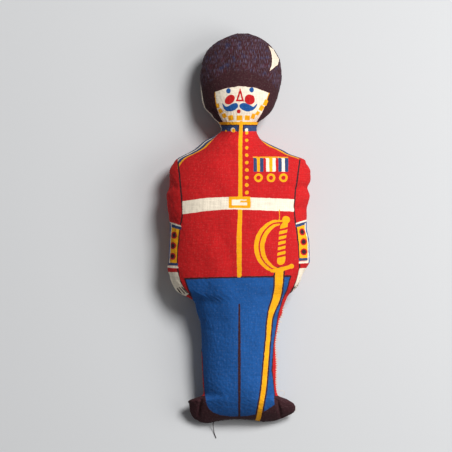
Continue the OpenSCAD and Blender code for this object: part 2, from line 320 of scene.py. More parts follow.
class Print:
    # ink screens over a panel: each holds how far a point lies inside that ink
    reach = 4.0
    far, tiny = 1e9, 1e-12

    def __init__(self, x, y):
        self.x, self.y = x, y
        self.fur = self.soilAndShade = np.full(x.shape, -self.reach)
        self.inks = {ink: self.soilAndShade for ink in inkNames}

    def paint(self, inside, inks):
        # a later shape prints its own ink and keeps the others out, but dark is laid over them
        inside = np.clip(inside, -self.reach, self.reach)
        for ink in inkNames:
            held = self.inks[ink]
            if ink in inks:
                self.inks[ink] = np.maximum(held, inside)
            elif inks != dark:
                self.inks[ink] = np.minimum(held, -inside)

    def disc(self, centre, radius):
        return radius - np.hypot(self.x - centre[0], self.y - centre[1])

    def turned(self, centre, turn):
        # coordinates from a centre, along axes turned by so many degrees
        c, s = math.cos(math.radians(turn)), math.sin(math.radians(turn))
        dx, dy = self.x - centre[0], self.y - centre[1]
        return c * dx + s * dy, c * dy - s * dx

    def oval(self, centre, radii, turn=0.0):
        # scaled distance from an ellipse's edge
        u, v = self.turned(centre, turn)
        return (1 - np.hypot(u / radii[0], v / radii[1])) * min(radii)

    def block(self, centre, half, turn=0.0):
        # distance inside a rectangle
        u, v = self.turned(centre, turn)
        u, v = np.abs(u) - half[0], np.abs(v) - half[1]
        return -(np.hypot(np.maximum(u, 0), np.maximum(v, 0)) + np.minimum(np.maximum(u, v), 0))

    def outline(self, points):
        # distance to the nearest edge of a polygon, positive where an even-odd ray test says inside
        points = np.asarray(points, float)
        nearest = np.full(self.x.shape, self.far)
        inside = np.zeros(self.x.shape, bool)
        for a, b in zip(points, np.roll(points, -1, 0)):
            nearest = np.minimum(nearest, self.reachTo(a, b)[0])
            crosses = (a[1] > self.y) != (b[1] > self.y)
            where = a[0] + (self.y - a[1]) * (b[0] - a[0]) / (b[1] - a[1] + self.tiny)
            inside ^= crosses & (self.x < where)
        return np.where(inside, nearest, -nearest)

    def reachTo(self, a, b):
        # distance to a straight piece, and how far along it the nearest point lies
        along = np.asarray(b, float) - a
        t = ((self.x - a[0]) * along[0] + (self.y - a[1]) * along[1]) / (along @ along + self.tiny)
        t = np.clip(t, 0, 1)
        return np.hypot(self.x - a[0] - t * along[0], self.y - a[1] - t * along[1]), t

    def stroke(self, points, widths):
        # half the width of a line, less the distance to it: widths run from its start to its end
        points = np.asarray(points, float)
        halves = np.interp(np.linspace(0, 1, len(points)), np.linspace(0, 1, len(widths)), widths) / 2
        best = np.full(self.x.shape, -self.far)
        for a, b, ha, hb in zip(points[:-1], points[1:], halves[:-1], halves[1:]):
            away, t = self.reachTo(a, b)
            best = np.maximum(best, ha + (hb - ha) * t - away)
        return best

    def line(self, points, widths, inks):
        # paints a line along a smooth curve
        self.paint(self.stroke(smoothLine(points), widths), inks)

    def above(self, level):
        return self.y - level

    def between(self, low, high):
        return np.minimum(self.above(low), -self.above(high))


headPrint = {
    "face": [
        (-24, 136.6), (-13, 140.2), (1, 142.4), (16, 141.0), (31, 135.6), (29.2, 130), (26.2, 122),
        (22.6, 114), (18.2, 107), (15, 99), (-13, 99), (-15.8, 107), (-19.6, 114), (-22.4, 122),
        (-23.6, 130),
    ],
    "eyes": [(-10.1, 137.6), (13.0, 138.6)],
    "eyeRadii": (2.2, 2.5),
    "nose": [(1.7, 140.6), (-2.7, 127.2), (5.4, 127.2)],
    "noseLine": 1.5,
    "cheekLeft": ((-8.7, 129.0), (5.5, 4.0), 41.0),
    "cheekRight": ((11.1, 129.0), (5.0, 5.0), 0.0),
    "moustacheLeft": [
        (-15.8, 125.0), (-12.2, 121.8), (-6.8, 124.4), (-2.4, 125.5), (-0.6, 123.4), (-1.4, 120.4),
        (-5.2, 118.0), (-10.2, 117.2), (-13.6, 118.8), (-15.2, 121.8),
    ],
    "moustacheRight": [
        (18.4, 125.0), (14.8, 121.8), (9.4, 124.4), (4.8, 125.6), (1.2, 123.6), (1.6, 120.8),
        (4.8, 118.3), (9.4, 117.2), (13.6, 118.2), (17.2, 121.2),
    ],
    "mouth": ((0.2, 117.2), 1.9),
    "strapLinks": [
        (-20.9, 122.7, 12, 1.5, 2.1), (-18.0, 117.7, 28, 1.7, 2.1), (-14.2, 113.0, 26, 1.9, 2.2),
        (-7.9, 110.8, 10, 2.5, 2.4), (0.9, 110.7, 0, 2.9, 2.4), (8.7, 110.8, -4, 2.5, 2.3),
        (14.6, 112.3, -16, 1.8, 2.5), (19.1, 115.4, -32, 1.6, 2.0), (22.9, 120.6, -32, 1.9, 2.6),
        (27.0, 126.0, -24, 1.8, 3.0),
    ],
    "plume": [
        (29.6, 183.4), (35.0, 179.6), (37.8, 174.4), (40.6, 170.2), (40.4, 168.2), (39.2, 164.0),
        (30.9, 157.1), (32.8, 163.6), (33.6, 170.0), (32.4, 177.0),
    ],
    "furFoot": 156.0,
    "furDip": 20.0,
    "furMiddle": 1.0,
    "furHalf": 40.0,
    "furFade": 0.35,
    "collarTop": 106.8,
    "collarGold": 103.6,
    "collarFoot": 97.6,
    "collarLine": 0.9,
    "collarOpening": [(-0.3, 103.4), (-0.6, 97.0)],
    "collarEdge": [(5.2, 103.4), (4.9, 97.0)],
    "collarDots": [
        (-5.6, 98.9, 2.3, bare), (-4.9, 98.2, 1.9, gold), (-12.4, 98.0, 1.0, gold),
        (8.0, 98.9, 1.7, bare),
    ],
    "faceSides": [[(-24.0, 136.2), (-23.4, 129.4), (-22.3, 123.4)], [(30.8, 135.4), (29.0, 129.6)]],
    "faceSide": 1.5,
}


def printHead(p, spec):
    # cap, face and collar
    p.paint(p.above(spec["collarTop"]), dark)
    face = p.outline(spec["face"])
    p.paint(face, bare)
    for centre in spec["eyes"]:
        p.paint(np.minimum(p.oval(centre, spec["eyeRadii"]), face), blue)
    nose = p.outline(spec["nose"])
    p.paint(spec["noseLine"] / 2 - np.abs(nose - spec["noseLine"] / 2), red)
    for cheek in (spec["cheekLeft"], spec["cheekRight"]):
        p.paint(p.oval(*cheek), red)
    for half in ("moustacheLeft", "moustacheRight"):
        p.paint(p.outline(smoothLoop(spec[half])), blue)
    p.paint(p.disc(*spec["mouth"]), red)
    for line in spec["faceSides"]:
        p.paint(np.minimum(p.stroke(smoothLine(line), [spec["faceSide"]]), face), gold)
    for x, y, turn, halfWide, halfTall in spec["strapLinks"]:
        p.paint(p.block((x, y), (halfWide, halfTall), turn), gold)
    plume = p.outline(spec["plume"])
    p.paint(plume, bare)
    # the plume's field carries a beige tint, partly soiling and partly painted shade
    p.soilAndShade = plume
    brim = p.above(spec["furFoot"]) + spec["furDip"] * ((p.x - spec["furMiddle"]) / spec["furHalf"]) ** 2
    p.fur = np.minimum.reduce((brim * spec["furFade"], -face, -plume))
    printCollar(p, spec)
    for name in ("collarOpening", "collarEdge"):
        p.paint(p.stroke(spec[name], [spec["collarLine"]]), dark)
    for x, y, radius, inks in spec["collarDots"]:
        p.paint(p.disc((x, y), radius), inks)


def printCollar(p, spec):
    # navy collar under a gold band, with a dark line between them
    p.paint(p.between(spec["collarGold"], spec["collarTop"]), gold)
    p.paint(p.between(spec["collarFoot"], spec["collarGold"]), navy)
    p.paint(spec["collarLine"] / 2 - np.abs(p.above(spec["collarGold"])), dark)


tunicPrint = {
    "piping": [(2.7, 106), (2.3, 97), (1.8, 86), (1.8, 60), (1.6, 20), (0.6, -10), (0.8, -46)],
    "pipingWidth": (3.6, 3.8, 4.0, 4.0, 4.2, 5.2, 4.8),
    "buttonX": 8.2,
    "buttonTop": 95.9,
    "buttonFoot": 36.2,
    "buttonCount": 9,
    "buttonRadius": (1.7, 2.1),
    "shoulderSpan": (20.0, 60.6),
    "shoulderTaper": ((20.0, 28.0), (0.0, 1.0)),
    "shoulderFoot": 60.0,
    "shoulderSlope": 0.45,
    "shoulderBands": {
        -1: [((0.0, 6.2), navy), ((1.7, 3.6), bare), ((6.2, 8.6), gold)],
        1: [((0.0, 2.2), navy), ((2.2, 5.4), gold)],
    },
    "armLeft": [
        (-60.2, 66.8), (-58, 50), (-56.4, 33.5), (-55.5, 14), (-58, 2), (-59.6, -14), (-61, -30),
        (-60.2, -42), (-58, -52), (-53, -61), (-47.7, -67), (-43.4, -74),
    ],
    "armRight": [
        (61, 69), (58.6, 52), (55.9, 34.6), (55.1, 16), (57.5, -3), (60.2, -21.6), (60.8, -34.6),
        (59.5, -45.4), (55.9, -56.3), (51, -66),
    ],
    "armLine": 1.3,
    "beltTop": [(-55.6, 27.7), (-32, 30.8), (-7.6, 31.9), (13, 31.5), (54.9, 29.7)],
    "beltFoot": [(55, 17.2), (12, 18.9), (-8.6, 19.4), (-32, 17.8), (-55.4, 14.6)],
    "buckleOuter": ((1.1, 26.6), (10.8, 5.7)),
    "buckleInner": ((0.8, 26.4), (7.7, 3.0)),
    "bucklePin": ((5.2, 27.2), (3.6, 0.7)),
    "hem": [(-53.5, -49.6), (-30, -48.8), (3, -47.9), (36, -47.6), (52, -47)],
    "hemLine": 1.2,
}


def betweenArms(p, spec):
    # the chest between the two printed sleeve lines
    return p.outline(np.vstack([smoothLine(spec["armLeft"]), smoothLine(spec["armRight"])[::-1]]))


def printBelt(p, spec):
    # bare belt across the chest, which stops at the sleeves
    band = np.vstack([smoothLine(spec["beltTop"]), smoothLine(spec["beltFoot"])])
    p.paint(np.minimum(p.outline(band), betweenArms(p, spec)), bare)


def printShoulders(p, spec, edge):
    # bands by distance from the shoulder seams, which narrow to nothing at the collar
    near, far = spec["shoulderSpan"]
    for hand, bands in spec["shoulderBands"].items():
        x = hand * p.x
        room = np.minimum.reduce((x - near, far - x, p.above(spec["shoulderFoot"])))
        taper = np.interp(x, *spec["shoulderTaper"])
        for (inner, outer), inks in bands:
            band = spec["shoulderSlope"] * np.minimum(edge - inner * taper, outer * taper - edge)
            p.paint(np.minimum(band, room), inks)


def printArms(p, spec):
    # dark line down the inner edge of each sleeve
    for name in ("armLeft", "armRight"):
        p.line(spec[name], [spec["armLine"]], dark)


def printTunic(p, spec, edge):
    # shoulder trim, buttons and sleeve lines on the red tunic
    printShoulders(p, spec, edge)
    count = spec["buttonCount"]
    for i in range(count):
        share = i / (count - 1)
        y = spec["buttonTop"] + share * (spec["buttonFoot"] - spec["buttonTop"])
        p.paint(p.disc((spec["buttonX"], y), np.interp(share, (0, 1), spec["buttonRadius"])), gold)
    printArms(p, spec)


def printPiping(p, spec):
    # gold edge of the opening, from the collar to the belt and on to the hem
    p.line(spec["piping"], spec["pipingWidth"], gold)


def printBuckle(p, spec):
    # plain frame with a pin
    p.paint(p.block(*spec["buckleOuter"]), gold)
    p.paint(p.block(*spec["buckleInner"]), bare)
    p.paint(p.block(*spec["bucklePin"]), gold)


medalPrint = {
    "bar": ((32.2, 71.6), (17.9, 0.7)),
    "ribbons": [(19.8, 63.9), (32.2, 63.9), (44.6, 63.9)],
    "half": (4.9, 7.0),
    "stripeHalf": 1.6,
    "inks": [(navy, gold), (bare, gold), (navy, bare)],
    "drop": 13.0,
    "discRadius": 4.4,
    "discMiddle": 2.1,
}


def printMedals(p, spec):
    # three plain ribbons on a bar, with a ring under each
    p.paint(p.block(*spec["bar"]), gold)
    for (x, y), (edge, middle) in zip(spec["ribbons"], spec["inks"]):
        p.paint(p.block((x, y), spec["half"]), edge)
        p.paint(p.block((x, y), (spec["stripeHalf"], spec["half"][1])), middle)
        p.paint(p.disc((x, y - spec["drop"]), spec["discRadius"]), gold)
        p.paint(p.disc((x, y - spec["drop"]), spec["discMiddle"]), red)


hiltPrint = {
    "sling": [(40.2, 19.0), (40.6, 8.0)],
    "slingWidth": 1.0,
    "guard": [
        (45.0, 6.5), (34.0, 5.0), (24.5, -4.0), (20.6, -16.5), (23.0, -29.0), (31.0, -38.0), (39.0, -41.0),
    ],
    "guardWidth": (4.0, 8.0, 10.5, 10.5, 8.0, 4.0),
    "guardLine": 1.4,
    "grip": [(41.6, 4.0), (48.4, 5.6), (46.6, -14.0), (46.0, -33.0), (38.6, -34.0), (39.2, -15.0)],
    "gripEdge": 0.9,
    "gripBars": 6,
    "gripBarX": 43.2,
    "gripBarTop": -0.5,
    "gripBarStep": 5.2,
    "gripBar": ((6.0, 0.95), 14.0),
    "gripBarOver": 0.3,
    "pommel": ((46.8, 9.2), 3.9),
    "cross": [(33.0, -41.6), (43.0, -40.0), (52.4, -37.2)],
    "crossWidth": (3.4, 4.8, 3.2),
    "crossEnd": ((52.8, -37.0), 2.5),
}


def printHilt(p, spec):
    # plain rounded guard, barred grip, ball pommel and straight cross-piece
    p.paint(p.stroke(spec["sling"], [spec["slingWidth"]]), gold)
    p.line(spec["guard"], spec["guardWidth"], gold)
    p.line(spec["guard"], [spec["guardLine"]], red)
    grip = p.outline(smoothLoop(spec["grip"]))
    p.paint(grip + spec["gripEdge"], red)
    p.paint(grip, gold)
    for i in range(spec["gripBars"]):
        place = (spec["gripBarX"], spec["gripBarTop"] - i * spec["gripBarStep"])
        p.paint(np.minimum(p.block(place, *spec["gripBar"]), grip + spec["gripBarOver"]), red)
    p.paint(p.disc(*spec["pommel"]), gold)
    p.line(spec["cross"], spec["crossWidth"], gold)
    p.paint(p.disc(*spec["crossEnd"]), gold)


sleevePrint = {
    "cuffs": [
        {
            "field": [(-74, 3.0), (-58.5, 0.2), (-60.2, -16), (-61.2, -34), (-74, -33.6)],
            "bands": [
                ([(-75, 7.4), (-57.4, 3.0)], 1.8, bare),
                ([(-75, 5.0), (-57.8, 0.8)], 2.8, navy),
                ([(-75, -34.6), (-60.9, -35.2)], 2.4, navy),
                ([(-75, -37.6), (-60.6, -38.2)], 2.2, bare),
            ],
            "buttons": [(-64.4, -6.2), (-65.4, -16.6), (-65.8, -27.2)],
            "hand": [
                (-78, -43), (-60.4, -43), (-57.7, -53), (-54, -59.4), (-49.4, -64.6), (-53.5, -67.6),
                (-60, -69), (-78, -69),
            ],
            "fingers": [
                [(-61.2, -59.2), (-56.6, -65.2)], [(-59.0, -58.4), (-53.6, -64.6)],
                [(-56.6, -58.0), (-51.4, -63.6)],
            ],
        },
        {
            "field": [(57.4, 2.6), (74, 6.4), (74, -28.6), (60.6, -29.4), (59.6, -14)],
            "bands": [
                ([(57.0, 5.4), (75, 10.0)], 1.8, bare),
                ([(57.2, 3.2), (75, 7.6)], 2.8, navy),
                ([(60.8, -30.4), (75, -29.8)], 2.4, navy),
                ([(60.7, -33.4), (75, -32.8)], 2.2, bare),
            ],
            "buttons": [(63.4, -3.0), (64.6, -12.8), (65.0, -22.8)],
            "hand": [(60.4, -39), (78, -39), (78, -70), (52, -66), (55.4, -58), (58.8, -47)],
            "fingers": [[(62.6, -50), (58.4, -58)]],
        },
    ],
    "buttonRadius": 3.5,
    "buttonMiddle": 2.2,
    "fieldEdge": 0.8,
    "finger": 0.9,
    "fingerStop": 1.0,
    "edgeBands": {1: [(2.4, bare), (1.2, blue)], -1: [(1.7, bare), (0.8, blue)]},
    "edgeFoot": -34.0,
    "edgeTop": 6.0,
}


def printSleeves(p, spec, edge):
    # gold cuff flap with three buttons, banded above and below, and a bare hand
    for cuff in spec["cuffs"]:
        field = p.outline(cuff["field"])
        p.paint(field + spec["fieldEdge"], dark)
        p.paint(field, gold)
        for place in cuff["buttons"]:
            p.paint(p.disc(place, spec["buttonRadius"]), red)
            p.paint(p.disc(place, spec["buttonMiddle"]), dark)
        for line, width, inks in cuff["bands"]:
            p.paint(p.stroke(line, [width]), inks)
        p.paint(p.outline(cuff["hand"]), bare)
    side = p.between(spec["edgeFoot"], spec["edgeTop"])
    for hand, bands in spec["edgeBands"].items():
        for width, inks in bands:
            p.paint(np.minimum.reduce((width - edge, side, hand * p.x)), inks)


def printFingers(p, spec, edge):
    # dark lines between the fingers, which stop short of the seam
    for cuff in spec["cuffs"]:
        for line in cuff["fingers"]:
            p.paint(np.minimum(p.stroke(line, [spec["finger"]]), edge - spec["fingerStop"]), dark)


legPrint = {
    "trousers": [
        (-53, -49.6), (-49.8, -59.5), (-46.2, -68), (-45.6, -74), (-46, -84), (-43.5, -100), (-40, -112),
        (-36.4, -124), (-35.3, -145), (-33.7, -165), (-32.6, -173), (-31.4, -176.4), (-29.2, -180),
        (-25.6, -183), (-18.5, -185.4), (-8, -186.6), (1, -186.8), (9, -186.2), (16.5, -185), (26.5, -181.6),
        (36, -176), (36, -166), (35, -156.5), (34, -147.4), (32.9, -141), (34, -129), (35.4, -112),
        (37.2, -101), (38.6, -91), (39.6, -84), (41.6, -78), (43.5, -71), (47.8, -61), (51.4, -47),
    ],
    "crease": [(0.8, -75), (0.8, -102), (0.8, -130), (0.8, -160), (0.8, -187)],
    "creaseWidth": (1.5, 2.2, 2.6, 2.4, 1.9),
    "stripe": [
        (40.4, -43), (39.6, -60), (37.4, -71), (33.4, -81), (31.2, -91), (29.6, -110), (27.2, -135),
        (25.6, -155), (23.4, -171), (18.8, -194),
    ],
    "stripeWidth": (8.6, 7.8, 7.4, 6.0, 4.8, 4.6, 4.8, 5.0, 5.0, 4.8),
    "stripeEdge": 1.25,
    "bootTop": -167.0,
    "widenFrom": -70.0,
    "outline": 1.0,
    "outlineFade": 4.0,
    "outlineLeast": 0.25,
}


def printTrousers(p, spec, edge, widen):
    # dark boots, and blue trousers with a crease and a line round them that thins beside the seam
    p.paint(spec["bootTop"] - p.y, dark)
    shape = np.array(spec["trousers"], dtype=float)
    shape[:, 0] += widen * np.sign(shape[:, 0]) * (shape[:, 1] < spec["widenFrom"])
    trousers = p.outline(shape)
    line = spec["outline"] * np.clip(edge / spec["outlineFade"], spec["outlineLeast"], 1)
    p.paint(np.minimum(trousers + line, p.above(spec["bootTop"])), dark)
    p.paint(trousers, blue)
    p.line(tunicPrint["hem"], [tunicPrint["hemLine"]], dark)
    p.paint(p.stroke(spec["crease"], spec["creaseWidth"]), dark)


def printStripe(p, spec):
    # gold scabbard with a thin dark edge, down to the sole
    widths = np.array(spec["stripeWidth"])
    p.line(spec["stripe"], widths + 2 * spec["stripeEdge"], dark)
    p.line(spec["stripe"], widths, gold)


legEdge = {
    "top": -70.0, "foot": -169.0, "hand": 1, "from": 0.0, "front": 0.9, "back": 0.2, "taper": 12.0,
    "holePitch": 2.3, "hole": 0.5,
}
faceEdge = {
    "top": 150.0, "foot": 92.0, "hand": -1, "from": 8.0, "front": 1.0, "back": 0.3, "taper": 14.0,
}


def printBareEdge(p, spec, edge, side):
    # unprinted strip beside one seam, which tapers off at both ends
    reach = p.between(spec["foot"], spec["top"])
    width = spec[side] * np.clip(reach / spec["taper"], 0, 1)
    strip = np.minimum.reduce((width - edge, reach, spec["hand"] * p.x - spec["from"]))
    p.paint(strip, bare)
    return strip


def printEdges(p, edge, side):
    # bare edges beside one leg and one cheek, the leg's crossed by a red mark at each needle hole
    strip = printBareEdge(p, legEdge, edge, side)
    pitch = legEdge["holePitch"]
    holes = np.abs((p.y / pitch) % 1 - 0.5) * pitch
    p.paint(np.minimum(legEdge["hole"] - holes, strip), red)
    printBareEdge(p, faceEdge, edge, side)


def screensFor(surface):
    # red ground all over a panel, and each point's distance from the seam edge in plan
    left, right = form.at(rowHeights(len(surface)))[:2]
    p = Print(surface[..., 0], surface[..., 1])
    p.paint(np.full(p.x.shape, p.reach), red)
    return p, np.minimum(p.x - left[:, None], right[:, None] - p.x)


def printFront(surface):
    # the uniform from in front, the later shapes over the earlier ones
    p, edge = screensFor(surface)
    printTunic(p, tunicPrint, edge)
    printSleeves(p, sleevePrint, edge)
    printFingers(p, sleevePrint, edge)
    printTrousers(p, legPrint, edge, 0.0)
    printStripe(p, legPrint)
    printMedals(p, medalPrint)
    printHead(p, headPrint)
    printPiping(p, tunicPrint)
    printBelt(p, tunicPrint)
    printBuckle(p, tunicPrint)
    printHilt(p, hiltPrint)
    printEdges(p, edge, "front")
    return p


backPrint = {
    "vent": [(1.0, 16), (1.0, -47)], "ventLine": 1.0, "buttons": [(-7, 11), (9, 11)], "buttonRadius": 2.4,
    "widen": 8.0,
}


def printBack(surface):
    # the same uniform from behind, without medals or sabre
    p, edge = screensFor(surface)
    printSleeves(p, sleevePrint, edge)
    printTrousers(p, legPrint, edge, backPrint["widen"])
    printBelt(p, tunicPrint)
    p.paint(p.stroke(backPrint["vent"], [backPrint["ventLine"]]), dark)
    for place in backPrint["buttons"]:
        p.paint(p.disc(place, backPrint["buttonRadius"]), gold)
    printArms(p, tunicPrint)
    p.fur = p.above(headPrint["collarTop"])
    p.paint(p.fur, dark)
    printCollar(p, headPrint)
    printEdges(p, edge, "back")
    return p


frontSurface = panelSurface("front", panelGrid["rows"], panelGrid["columns"])
backSurface = panelSurface("back", panelGrid["rows"], panelGrid["columns"])
frontPrint = printFront(frontSurface)
rearPrint = printBack(backSurface)
print("panels printed")


def srgb(r, g, b):
    # linear light from an 8-bit colour
    c = np.array([r, g, b]) / 255
    return (*np.where(c <= 0.04045, c / 12.92, ((c + 0.055) / 1.055) ** 2.4), 1.0)


def addNode(tree, kind, settings, inputs):
    # a node with its settings, and its inputs set or linked
    made = tree.nodes.new(kind)
    for name, value in settings.items():
        setattr(made, name, value)
    for name, value in inputs.items():
        if isinstance(value, bpy.types.NodeSocket):
            tree.links.new(value, made.inputs[name])
        else:
            made.inputs[name].default_value = value
    return made


def maths(tree, operation, a, b=0.0, c=0.0):
    return addNode(tree, "ShaderNodeMath", {"operation": operation}, {0: a, 1: b, 2: c}).outputs[0]


def vectors(tree, operation, a, b, into=1):
    # vector sum or product, whose second value goes into this input
    return addNode(tree, "ShaderNodeVectorMath", {"operation": operation}, {0: a, into: b}).outputs[0]


def noise(tree, place, cell, detail=2.0):
    # noise whose cells have this size in metres across and along the cloth
    scaled = vectors(tree, "MULTIPLY", place, tuple(1 / c for c in cell))
    inputs = {"Vector": scaled, "Scale": 1.0, "Detail": detail}
    return addNode(tree, "ShaderNodeTexNoise", {}, inputs).outputs["Fac"]


def ramp(tree, value, low, high):
    # smooth step from 0 at low to 1 at high
    inputs = {"Value": value, "From Min": low, "From Max": high}
    made = addNode(tree, "ShaderNodeMapRange", {"interpolation_type": "SMOOTHSTEP"}, inputs)
    return made.outputs["Result"]


def blendColour(tree, share, a, b):
    inputs = {"Factor": share, 6: a, 7: b}
    return addNode(tree, "ShaderNodeMix", {"data_type": "RGBA"}, inputs).outputs[2]


def overlay(tree, colour, field, limits, over, within=1.0):
    # lays one more colour on, up to its share, where a field passes from low to high
    low, high, share = limits
    mask = maths(tree, "MULTIPLY", ramp(tree, field, low, high), within)
    return blendColour(tree, maths(tree, "MULTIPLY", mask, share), colour, over)


def raised(tree, height, strength, distance):
    inputs = {"Height": height, "Strength": strength, "Distance": distance}
    return addNode(tree, "ShaderNodeBump", {}, inputs).outputs[0]


# Inks and their edges, then the cap's patches and strokes, the plume's soiling with painted shade, wear, the
# weave and the finish.
# Each range is a field's low and high, and the most that is laid on.
clothLook = {
    "cloth": srgb(244, 231, 209),
    "gold": srgb(247, 171, 14),
    "red": srgb(196, 27, 30),
    "blue": srgb(27, 83, 149),
    "navy": srgb(48, 68, 110),
    "dark": srgb(59, 30, 35),
    "bleed": 0.45,
    "bleedCell": (0.0014, 0.0014, 0.0014),
    "spread": 0.1,
    "softness": 0.22,
    "furEdge": (0.2, 1.6),
    "patchCell": (0.006, 0.0075, 1.0),
    "patchDetail": 1.0,
    "flush": srgb(74, 26, 36),
    "flushRange": (0.45, 0.3, 0.5),
    "dab": srgb(44, 55, 90),
    "dabRange": (0.55, 0.76, 0.6),
    "hair": srgb(104, 96, 120),
    "hairCell": (0.0007, 0.0048, 1.0),
    "hairDetail": 0.0,
    "hairRange": (0.5, 0.72, 0.5),
    "thin": srgb(244, 231, 209),
    "thinCell": (0.0016, 0.0016, 1.0),
    "thinDetail": 3.0,
    "thinRange": (0.5, 0.8, 0.05),
    # beige over the plume: partly soiling, partly painted shade that dulls its lit slope
    "soilAndShade": srgb(220, 204, 184),
    "soilAndShadeRange": (0.0, 1.5, 0.8),
    "wearCell": (0.03, 0.04, 1.0),
    "wearDetail": 4.0,
    "wearTone": 0.16,
    "weavePitch": 0.00075,
    "yarnCell": (1.3, 24.0),
    "checkTone": 0.07,
    "checkHeight": 0.5,
    "slubTone": 0.5,
    "bump": (0.6, 0.00012),
    "roughness": 0.9,
    "specular": 0.2,
    "sheen": 0.0,
}


def weaveGroup(spec):
    # plain weave: the product of two sines, with thick and thin yarns each way
    tree = bpy.data.node_groups.new("plain weave", "ShaderNodeTree")
    tree.interface.new_socket(name="Cloth", in_out="INPUT", socket_type="NodeSocketVector")
    for name, kind in (("Tone", "Float"), ("Normal", "Vector")):
        tree.interface.new_socket(name=name, in_out="OUTPUT", socket_type="NodeSocket" + kind)
    start = tree.nodes.new("NodeGroupInput").outputs["Cloth"]
    pitch = spec["weavePitch"]
    turns = vectors(tree, "SCALE", start, math.pi / pitch, "Scale")
    parts = addNode(tree, "ShaderNodeSeparateXYZ", {}, {0: turns}).outputs
    check = maths(tree, "MULTIPLY", maths(tree, "SINE", parts[0]), maths(tree, "SINE", parts[1]))
    wide, long = (pitch * share for share in spec["yarnCell"])
    yarns = maths(tree, "ADD", noise(tree, start, (wide, long, 1.0)), noise(tree, start, (long, wide, 1.0)))
    slub = maths(tree, "SUBTRACT", yarns, 1.0)
    tone = maths(tree, "MULTIPLY_ADD", slub, spec["slubTone"], 1.0)
    tone = maths(tree, "MULTIPLY_ADD", check, spec["checkTone"], tone)
    height = maths(tree, "MULTIPLY_ADD", check, spec["checkHeight"], slub)
    end = tree.nodes.new("NodeGroupOutput")
    tree.links.new(tone, end.inputs["Tone"])
    tree.links.new(raised(tree, height, *spec["bump"]), end.inputs["Normal"])
    return tree


def inkGroup(spec):
    # ink colours laid one over the other where their screens are positive
    tree = bpy.data.node_groups.new("ink screens", "ShaderNodeTree")
    for name in inkNames:
        tree.interface.new_socket(name=name, in_out="INPUT", socket_type="NodeSocketFloat")
    tree.interface.new_socket(name="Color", in_out="OUTPUT", socket_type="NodeSocketColor")
    start = tree.nodes.new("NodeGroupInput").outputs
    colour = spec["cloth"]
    for name in inkNames:
        mask = ramp(tree, start[name], -spec["softness"], spec["softness"])
        colour = blendColour(tree, mask, colour, spec[name])
    end = tree.nodes.new("NodeGroupOutput")
    tree.links.new(colour, end.inputs["Color"])
    return tree


def useGroup(tree, group, inputs):
    return addNode(tree, "ShaderNodeGroup", {"node_tree": group}, inputs).outputs


def startMaterial(name, spec):
    # a material whose plain values come from its dictionary
    material = bpy.data.materials.new(name)
    material.use_nodes = True
    shader = material.node_tree.nodes["Principled BSDF"]
    sockets = {"Roughness": "roughness", "Specular IOR Level": "specular", "Sheen Weight": "sheen"}
    for socket, key in sockets.items():
        shader.inputs[socket].default_value = spec[key]
    return material, material.node_tree, shader


def printedCotton(spec):
    # printed cotton: inks with an uneven edge, patches and strokes on the cap, soiling with painted shade on
    # the plume, weave and wear
    material, tree, shader = startMaterial("printed cotton", spec)
    cloth = addNode(tree, "ShaderNodeUVMap", {"uv_map": "cloth"}, {}).outputs[0]
    weave = useGroup(tree, weaveGroup(spec), {"Cloth": cloth})
    bleed = noise(tree, cloth, spec["bleedCell"])
    bleed = maths(tree, "MULTIPLY_ADD", bleed, spec["bleed"], spec["spread"] - spec["bleed"] / 2)
    screens = {}
    for name in (*inkNames, "fur", "soilAndShade"):
        field = addNode(tree, "ShaderNodeAttribute", {"attribute_name": name}, {}).outputs["Fac"]
        screens[name] = maths(tree, "ADD", field, bleed)
    fur = ramp(tree, screens.pop("fur"), *spec["furEdge"])
    soilAndShade = screens.pop("soilAndShade")
    colour = useGroup(tree, inkGroup(spec), screens)["Color"]
    patch, hair, thin, wear = (
        noise(tree, cloth, spec[name + "Cell"], spec[name + "Detail"])
        for name in ("patch", "hair", "thin", "wear")
    )
    for name, field in (("flush", patch), ("dab", patch), ("hair", hair)):
        colour = overlay(tree, colour, field, spec[name + "Range"], spec[name], fur)
    # thin ink specks, then the plume's beige: partly soiling, partly painted shade
    for name, field in (("thin", thin), ("soilAndShade", soilAndShade)):
        colour = overlay(tree, colour, field, spec[name + "Range"], spec[name])
    wear = maths(tree, "SUBTRACT", wear, 0.5)
    tone = maths(tree, "MULTIPLY_ADD", wear, spec["wearTone"] * 2, weave["Tone"])
    tree.links.new(vectors(tree, "SCALE", colour, tone, "Scale"), shader.inputs["Base Color"])
    tree.links.new(weave["Normal"], shader.inputs["Normal"])
    return material


def fibreMaterial(name, spec):
    # thread or wadding: a colour that varies along and across its fibres
    material, tree, shader = startMaterial(name, spec)
    place = tree.nodes.new("ShaderNodeTexCoord").outputs["Object"]
    strands = noise(tree, place, (spec["cell"],) * 3, spec["detail"])
    tree.links.new(blendColour(tree, strands, spec["dark"], spec["light"]), shader.inputs["Base Color"])
    tree.links.new(raised(tree, strands, *spec["bump"]), shader.inputs["Normal"])
    return material


darkThreadLook = {
    "dark": srgb(24, 16, 20), "light": srgb(70, 50, 54), "cell": 0.0006, "detail": 3.0,
    "bump": (0.5, 0.0001), "roughness": 0.8, "specular": 0.25, "sheen": 0.1,
}
paleThreadLook = {
    "dark": srgb(196, 176, 148), "light": srgb(252, 246, 232), "cell": 0.0007, "detail": 3.0,
    "bump": (0.5, 0.0001), "roughness": 0.85, "specular": 0.2, "sheen": 0.1,
}
waddingLook = {
    "dark": srgb(205, 196, 176), "light": srgb(246, 240, 226), "cell": 0.003, "detail": 3.0,
    "bump": (0.5, 0.0008), "roughness": 0.95, "specular": 0.1, "sheen": 0.1,
}
cotton = printedCotton(clothLook)
darkThread = fibreMaterial("dark thread", darkThreadLook)
paleThread = fibreMaterial("pale thread", paleThreadLook)
wadding = fibreMaterial("wadding", waddingLook)
print("materials made")


